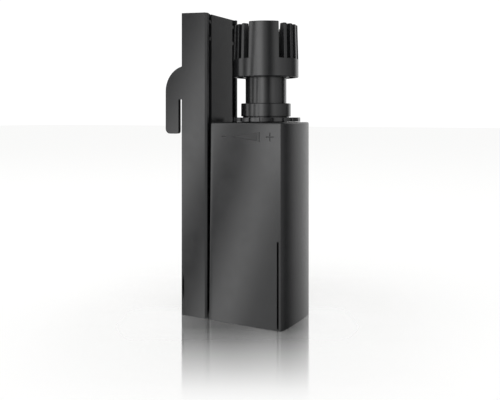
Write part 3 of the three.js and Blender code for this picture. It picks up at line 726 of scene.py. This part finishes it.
# ---- sponge -------------------------------------------------------------
def filter_sponge():
    """An open-cell foam block: softly crowned faces with pits in them."""
    low, high = box_mm("filter_sponge")
    centre, half = (low + high) / 2, (high - low) / 2 - Vector((0.15, 0.15, 0.15))
    bm = bmesh.new()
    bmesh.ops.create_cube(bm, size=2)
    bmesh.ops.subdivide_edges(bm, edges=bm.edges, cuts=31, use_grid_fill=True)
    for v in bm.verts:
        p = v.co.copy()
        edge = sorted(abs(c) for c in p)[1]
        soft = 1 - 0.035 * max(edge - 0.8, 0) / 0.2
        here = Vector((p.x * half.x, p.y * half.y, p.z * half.z))
        pit = noise.fractal(here * 0.9, 0.8, 2.0, 3) * 0.28
        cell = min(noise.voronoi(here * 0.55)[0][0], 0.6)
        out = here.normalized()
        v.co = centre + here * soft * (1 - 0.004) - out * max(0.35 - cell, 0) * 1.6 - out * abs(pit)
    bmesh.ops.recalc_face_normals(bm, faces=bm.faces)
    sponge = piece("filter_sponge_foam", bm, "pump_unit", ["filter_sponge"], "sponge_foam", 80)


# ---- pump cartridge -----------------------------------------------------
SHAFT_BORE = 1.15


def coil_winding():
    """Enamelled wire wound round the bobbin: one rounded turn beside the next."""
    low, high = box_mm("coil_winding")
    at = (low + high) / 2
    outline = rounded(rectangle((low.x, high.x), (low.z, high.z)), 1.6, 6)
    hole = rounded(rectangle((low.x + 1.2, high.x - 1.2), (low.z + 1.2, high.z - 1.2)), 0.4, 6)
    sections = []
    turns = 22
    pitch = (high.y - low.y) / turns
    for i in range(turns):
        for k in range(6):
            swell = math.sin(math.pi * (k + 0.5) / 6)
            inset = pitch * 0.5 * (1 - swell)
            y = low.y + pitch * (i + (k + 0.5) / 6)
            sections.append([
                (p.x + (at.x - p.x) * inset / 5, y, p.y + (at.z - p.y) * inset / 9) for p in outline
            ])
    inner_back = [(p.x, high.y - 0.1, p.y) for p in hole]
    inner_front = [(p.x, low.y + 0.1, p.y) for p in hole]
    bm = tidy(swept(sections + [inner_back, inner_front]))
    piece("coil_winding_turns", bm, "pump_cartridge", ["coil_winding"], "copper", 70)


def turned_piece(name, node, profile, look):
    piece(name, lathe(profile, middle(node).xy, 64), "pump_cartridge", [node], look, 40)


def small_turned_parts():
    for node in ("damping_foot_1", "damping_foot_2", "damping_foot_3", "damping_foot_4"):
        low, high = box_mm(node)
        waist = (2.05, (low.z + high.z) / 2, 0.3)
        side = rounded([(0, low.z, 0), (2.2, low.z, 0.4), waist, (2.2, high.z, 0.4), (0, high.z, 0)], 0.3, 4,
                       closed=False)
        turned_piece(node + "_moulded", node, side, "black_rubber")
    low, high = box_mm("rotor_shaft")
    shaft = [(0, low.z), (0.8, low.z), (1, low.z + 0.2), (1, high.z - 0.2), (0.8, high.z), (0, high.z)]
    turned_piece("rotor_shaft_ground", "rotor_shaft", shaft, "ceramic")
    low, high = box_mm("bush_lower")
    cup = rounded([(0, low.z, 0), (4.2, low.z), (4.2, high.z), (SHAFT_BORE, high.z, 0.15),
                   (SHAFT_BORE, low.z + 0.3, 0), (0, low.z + 0.3, 0)], 0.25, 3, closed=False)
    turned_piece("bush_lower_turned", "bush_lower", cup, "ceramic")
    low, high = box_mm("bush_upper")
    profile = rounded([(SHAFT_BORE, low.z, 0.15), (2, low.z), (2, high.z), (SHAFT_BORE, high.z, 0.15)], 0.2, 3)
    bush = around(profile, middle("bush_upper").xy, 64)
    piece("bush_upper_turned", bush, "pump_cartridge", ["bush_upper"], "ceramic", 40)


def rotor_magnet():
    """Pressed ferrite ring with shallow flats at its four poles."""
    low, high = box_mm("rotor_magnet")

    def section(a):
        r = 7.7 - 0.12 * max(math.cos(4 * a), 0) ** 6
        return rounded([(SHAFT_BORE, low.z, 0.2), (r, low.z, 0.6), (r, high.z, 0.6),
                        (SHAFT_BORE, high.z, 0.2)], 0.3, 4)

    piece("rotor_magnet_pressed", around(section, MOTOR, 128), "rotor", ["rotor_magnet"], "ferrite", 40)


def impeller():
    """Base disc, hub and straight radial blades, which run either way round."""
    low, high = box_mm("impeller")
    disc_low = low.z + 4.4
    hub = rounded([(SHAFT_BORE, low.z, 0.2), (3.6, low.z, 0.3), (3.6, disc_low, 0.4), (11.8, disc_low, 0.3),
                   (11.8, disc_low + 1, 0.3), (3.6, disc_low + 1.2, 0.8), (3.4, high.z, 0.7),
                   (SHAFT_BORE, high.z, 0.2)], 0.3, 4)
    parts = [around(hub, MOTOR, 96)]
    place = Matrix.Translation((*MOTOR, 0))
    foot = disc_low + 0.5
    outline = rounded([(2.5, foot, 0), (11.6, foot, 0), (11.5, high.z - 0.6, 1.2), (2.5, high.z, 0)], 0.4, 5)
    for a in full_turn(6):
        blade = bevel(prism(outline, -0.6, 0.6, "XZ"), 0.2, 2, 60)
        parts.append(moved(blade, place @ Matrix.Rotation(a, 4, "Z")))
    piece("impeller_moulded", joined(*parts), "rotor", ["impeller"], "grey_plastic", 40)


housing_shell()
regulator_ring()
seal("tube_seal_round", "tube_seal", "regulator", 0.72)
seal("chamber_seal_round", "chamber_seal", "pump_cartridge", 0.52)
neck_tube()
skimmer_comb()
head_floor()
suction_cup("suction_cup_right")
suction_cup("suction_cup_left")
rail_screw("rail_screw_1")
rail_screw("rail_screw_2")
cable_gland()
filter_sponge()
coil_winding()
small_turned_parts()
rotor_magnet()
impeller()
for node, width in (
    ("holder_channel", 0.45), ("guide_rail", 0.25), ("port_plate", 0.15), ("sponge_grid", 0.15),
    ("throttle_sleeve", 0.15), ("bottom_cover", 0.2), ("motor_casing", 0.3), ("motor_base_cap", 0.25),
    ("stator_core", 0.06), ("coil_bobbin", 0.15), ("volute_cover", 0.2), ("outlet_baffle", 0.2),
):
    made = moulded(node, width)
    if node == "stator_core":
        made.data.materials[0] = SHEET_STEEL


# ---- floor, light and camera --------------------------------------------
VIEW_TURN = math.radians(27.816)
VIEW = Vector((-math.sin(VIEW_TURN), math.cos(VIEW_TURN), 0))
ACROSS = Vector((VIEW.y, -VIEW.x, 0))
CAMERA = Vector((ORIGIN_X * MM + 0.224706, -0.384014, 0.131753))


def stage_object(name, bm, material):
    mesh = bpy.data.meshes.new(name)
    bm.to_mesh(mesh)
    bm.free()
    mesh.materials.append(material)
    obj = bpy.data.objects.new(name, mesh)
    bpy.context.scene.collection.objects.link(obj)
    return obj


def strength_ramp(nodes, links, source, stops, low, high, kind="EASE"):
    """Brightness along a value that runs from low to high, from (value, brightness) stops."""
    most = max(b for _, b in stops)
    node = nodes.new("ShaderNodeValToRGB")
    node.color_ramp.interpolation = kind
    elements = node.color_ramp.elements
    while len(elements) < len(stops):
        elements.new(0.5)
    for element, (value, brightness) in zip(elements, stops):
        element.position = (value - low) / (high - low)
        element.color = (*[brightness / most] * 3, 1)
    links.new(ranged(nodes, links, source, 0, 1, low, high), node.inputs["Fac"])
    return math_node(nodes, links, "MULTIPLY", node.outputs["Color"], most)


def lamp_material(name):
    """A plain emitter, whose strength is still to be linked."""
    material = bpy.data.materials.new(name)
    material.use_nodes = True
    nodes, links = material.node_tree.nodes, material.node_tree.links
    nodes.remove(nodes["Principled BSDF"])
    lamp = nodes.new("ShaderNodeEmission")
    links.new(lamp.outputs["Emission"], nodes["Material Output"].inputs["Surface"])
    return material, nodes, links, lamp


def gloss_only(obj):
    """Leaves an object to be seen in glossy surfaces and nowhere else."""
    obj.visible_camera = obj.visible_diffuse = obj.visible_shadow = obj.visible_transmission = False


def pale_floor():
    """A white table top, polished just round the object and in front of it, and matt further away."""
    material, nodes, links, shader = new_material("pale_floor")
    shader.inputs["Base Color"].default_value = (0.905, 0.905, 0.9, 1)
    shader.inputs["Roughness"].default_value = 0.9
    shader.inputs["Specular IOR Level"].default_value = 0.0
    polish = nodes.new("ShaderNodeBsdfGlossy")
    polish.inputs["Roughness"].default_value = 0.07
    polish.inputs["Color"].default_value = (0.87, 0.87, 0.865, 1)
    place = nodes.new("ShaderNodeNewGeometry").outputs["Position"]
    start = CAMERA.dot(VIEW)
    depths = [(0.3, 0.0), (0.315, 0.1), (0.34, 0.38), (0.355, 0.52), (0.385, 0.76), (0.41, 0.88), (0.44, 0.85),
              (0.54, 0.0)]
    stops = [(start + distance, amount) for distance, amount in depths]
    along = vector_value(nodes, links, "DOT_PRODUCT", place, VIEW)
    near = strength_ramp(nodes, links, along, stops, start + 0.25, start + 0.65, "LINEAR")
    sides = [(-0.13, 0), (-0.06, 1), (0.06, 1), (0.13, 0)]
    across = vector_value(nodes, links, "DOT_PRODUCT", place, ACROSS)
    inside = strength_ramp(nodes, links, across, sides, -0.2, 0.2)
    mix = nodes.new("ShaderNodeMixShader")
    links.new(math_node(nodes, links, "MULTIPLY", near, inside), mix.inputs["Fac"])
    links.new(shader.outputs["BSDF"], mix.inputs[1])
    links.new(polish.outputs["BSDF"], mix.inputs[2])
    links.new(mix.outputs["Shader"], nodes["Material Output"].inputs["Surface"])
    bm = bmesh.new()
    bmesh.ops.create_grid(bm, x_segments=2, y_segments=2, size=8)
    floor = stage_object("floor", bm, material)
    floor.visible_glossy = False


def studio():
    """A plain white room, with a tent in it that is only seen in glossy surfaces.

    The tent is brightest behind the object, fairly bright at the front left, and dark between.
    """
    world = bpy.data.worlds.new("studio")
    bpy.context.scene.world = world
    world.use_nodes = True
    background = world.node_tree.nodes["Background"]
    background.inputs["Color"].default_value = (1, 1, 1, 1)
    background.inputs["Strength"].default_value = 1.05
    material, nodes, links, lamp = lamp_material("tent")
    direction = operation_node(nodes, links, "ShaderNodeVectorMath", "NORMALIZE", object_place(nodes))
    split = nodes.new("ShaderNodeSeparateXYZ")
    links.new(direction.outputs["Vector"], split.inputs["Vector"])
    turn = math_node(nodes, links, "ARCTAN2", split.outputs["X"], split.outputs["Y"])
    degrees = math_node(nodes, links, "MULTIPLY", turn, 180 / math.pi)
    azimuths = [
        (-180, 3.5), (-170, 3.0), (-150, 1.2), (-128, 1.8), (-100, 1.2), (-80, 0.4), (-62, 1.1), (4, 1.1),
        (16, 1.3), (24, 0.75), (31, 0.25), (37, 0.06), (62, 0.45), (92, 0.9), (116, 1.4), (140, 0.05),
        (158, 0.9), (173, 3.2),
    ]
    level = strength_ramp(nodes, links, degrees, azimuths, -180, 180)
    heights = [(-1, 0.4), (-0.4, 0.5), (-0.12, 0.9), (0, 1), (0.35, 1), (0.65, 0.2), (1, 0.15)]
    height = strength_ramp(nodes, links, split.outputs["Z"], heights, -1, 1)
    links.new(math_node(nodes, links, "MULTIPLY", level, height), lamp.inputs["Strength"])
    bm = bmesh.new()
    bmesh.ops.create_icosphere(bm, subdivisions=5, radius=6)
    tent = stage_object("tent", bm, material)
    gloss_only(tent)


NEAR_FACE = -0.022
CARD_SIZE = (0.24, 0.6, 1)
CARD_DISTANCE = 0.619


def softbox():
    """A lamp at the front left with slanting bands of light, only seen in glossy surfaces."""
    material, nodes, links, lamp = lamp_material("softbox")
    place = object_place(nodes)
    bands = [
        (-0.27, 0.3), (-0.215, 0.8), (-0.16, 2.2), (-0.115, 3.4), (-0.07, 1.8), (-0.035, 0.4), (0.01, 0.25),
        (0.065, 2.0), (0.11, 3.2), (0.155, 2.0), (0.2, 0.9), (0.28, 1.1),
    ]
    slant = vector_value(nodes, links, "DOT_PRODUCT", place, (2.5, -1, 0))
    level = strength_ramp(nodes, links, slant, bands, -0.32, 0.32)
    distance = vector_value(nodes, links, "DISTANCE", place, (0.035, -0.015, 0))
    spot = strength_ramp(nodes, links, distance, [(0, 1.2), (0.06, 0)], 0, 0.1)
    links.new(math_node(nodes, links, "ADD", level, spot), lamp.inputs["Strength"])
    bm = bmesh.new()
    bmesh.ops.create_grid(bm, x_segments=2, y_segments=2, size=0.5)
    bmesh.ops.scale(bm, vec=CARD_SIZE, verts=bm.verts)
    bmesh.ops.translate(bm, vec=(-0.03, 0, 0), verts=bm.verts)
    card = stage_object("softbox", bm, material)
    mirrored = Vector((CAMERA.x, 2 * NEAR_FACE - CAMERA.y, CAMERA.z))
    sideways = Vector((VIEW.y, VIEW.x, 0))
    towards = Vector((VIEW.x, -VIEW.y, 0))
    basis = Matrix((sideways, Vector((0, 0, 1)), towards)).transposed().to_4x4()
    card.matrix_world = Matrix.Translation(mirrored + towards * CARD_DISTANCE) @ basis
    gloss_only(card)


def overhead():
    """Soft light from above for the table."""
    data = bpy.data.lights.new("overhead", "AREA")
    data.shape = "DISK"
    data.size = 1.6
    data.energy = 2.6
    lamp = bpy.data.objects.new("overhead", data)
    lamp.location = (-0.2, -0.3, 1.3)
    lamp.rotation_euler = (Vector((0, 0, 0)) - Vector(lamp.location)).to_track_quat("-Z", "Y").to_euler()
    lamp.visible_glossy = False
    bpy.context.scene.collection.objects.link(lamp)


def camera():
    data = bpy.data.cameras.new("camera")
    data.sensor_width = 36
    data.lens = 46.889
    data.shift_y = -0.1662
    data.clip_end = 50
    obj = bpy.data.objects.new("camera", data)
    obj.location = CAMERA
    obj.rotation_euler = (math.radians(90), 0, VIEW_TURN)
    bpy.context.scene.collection.objects.link(obj)
    bpy.context.scene.camera = obj
    bpy.context.scene.view_settings.view_transform = "Standard"


pale_floor()
studio()
softbox()
overhead()
camera()
bpy.context.view_layer.update()
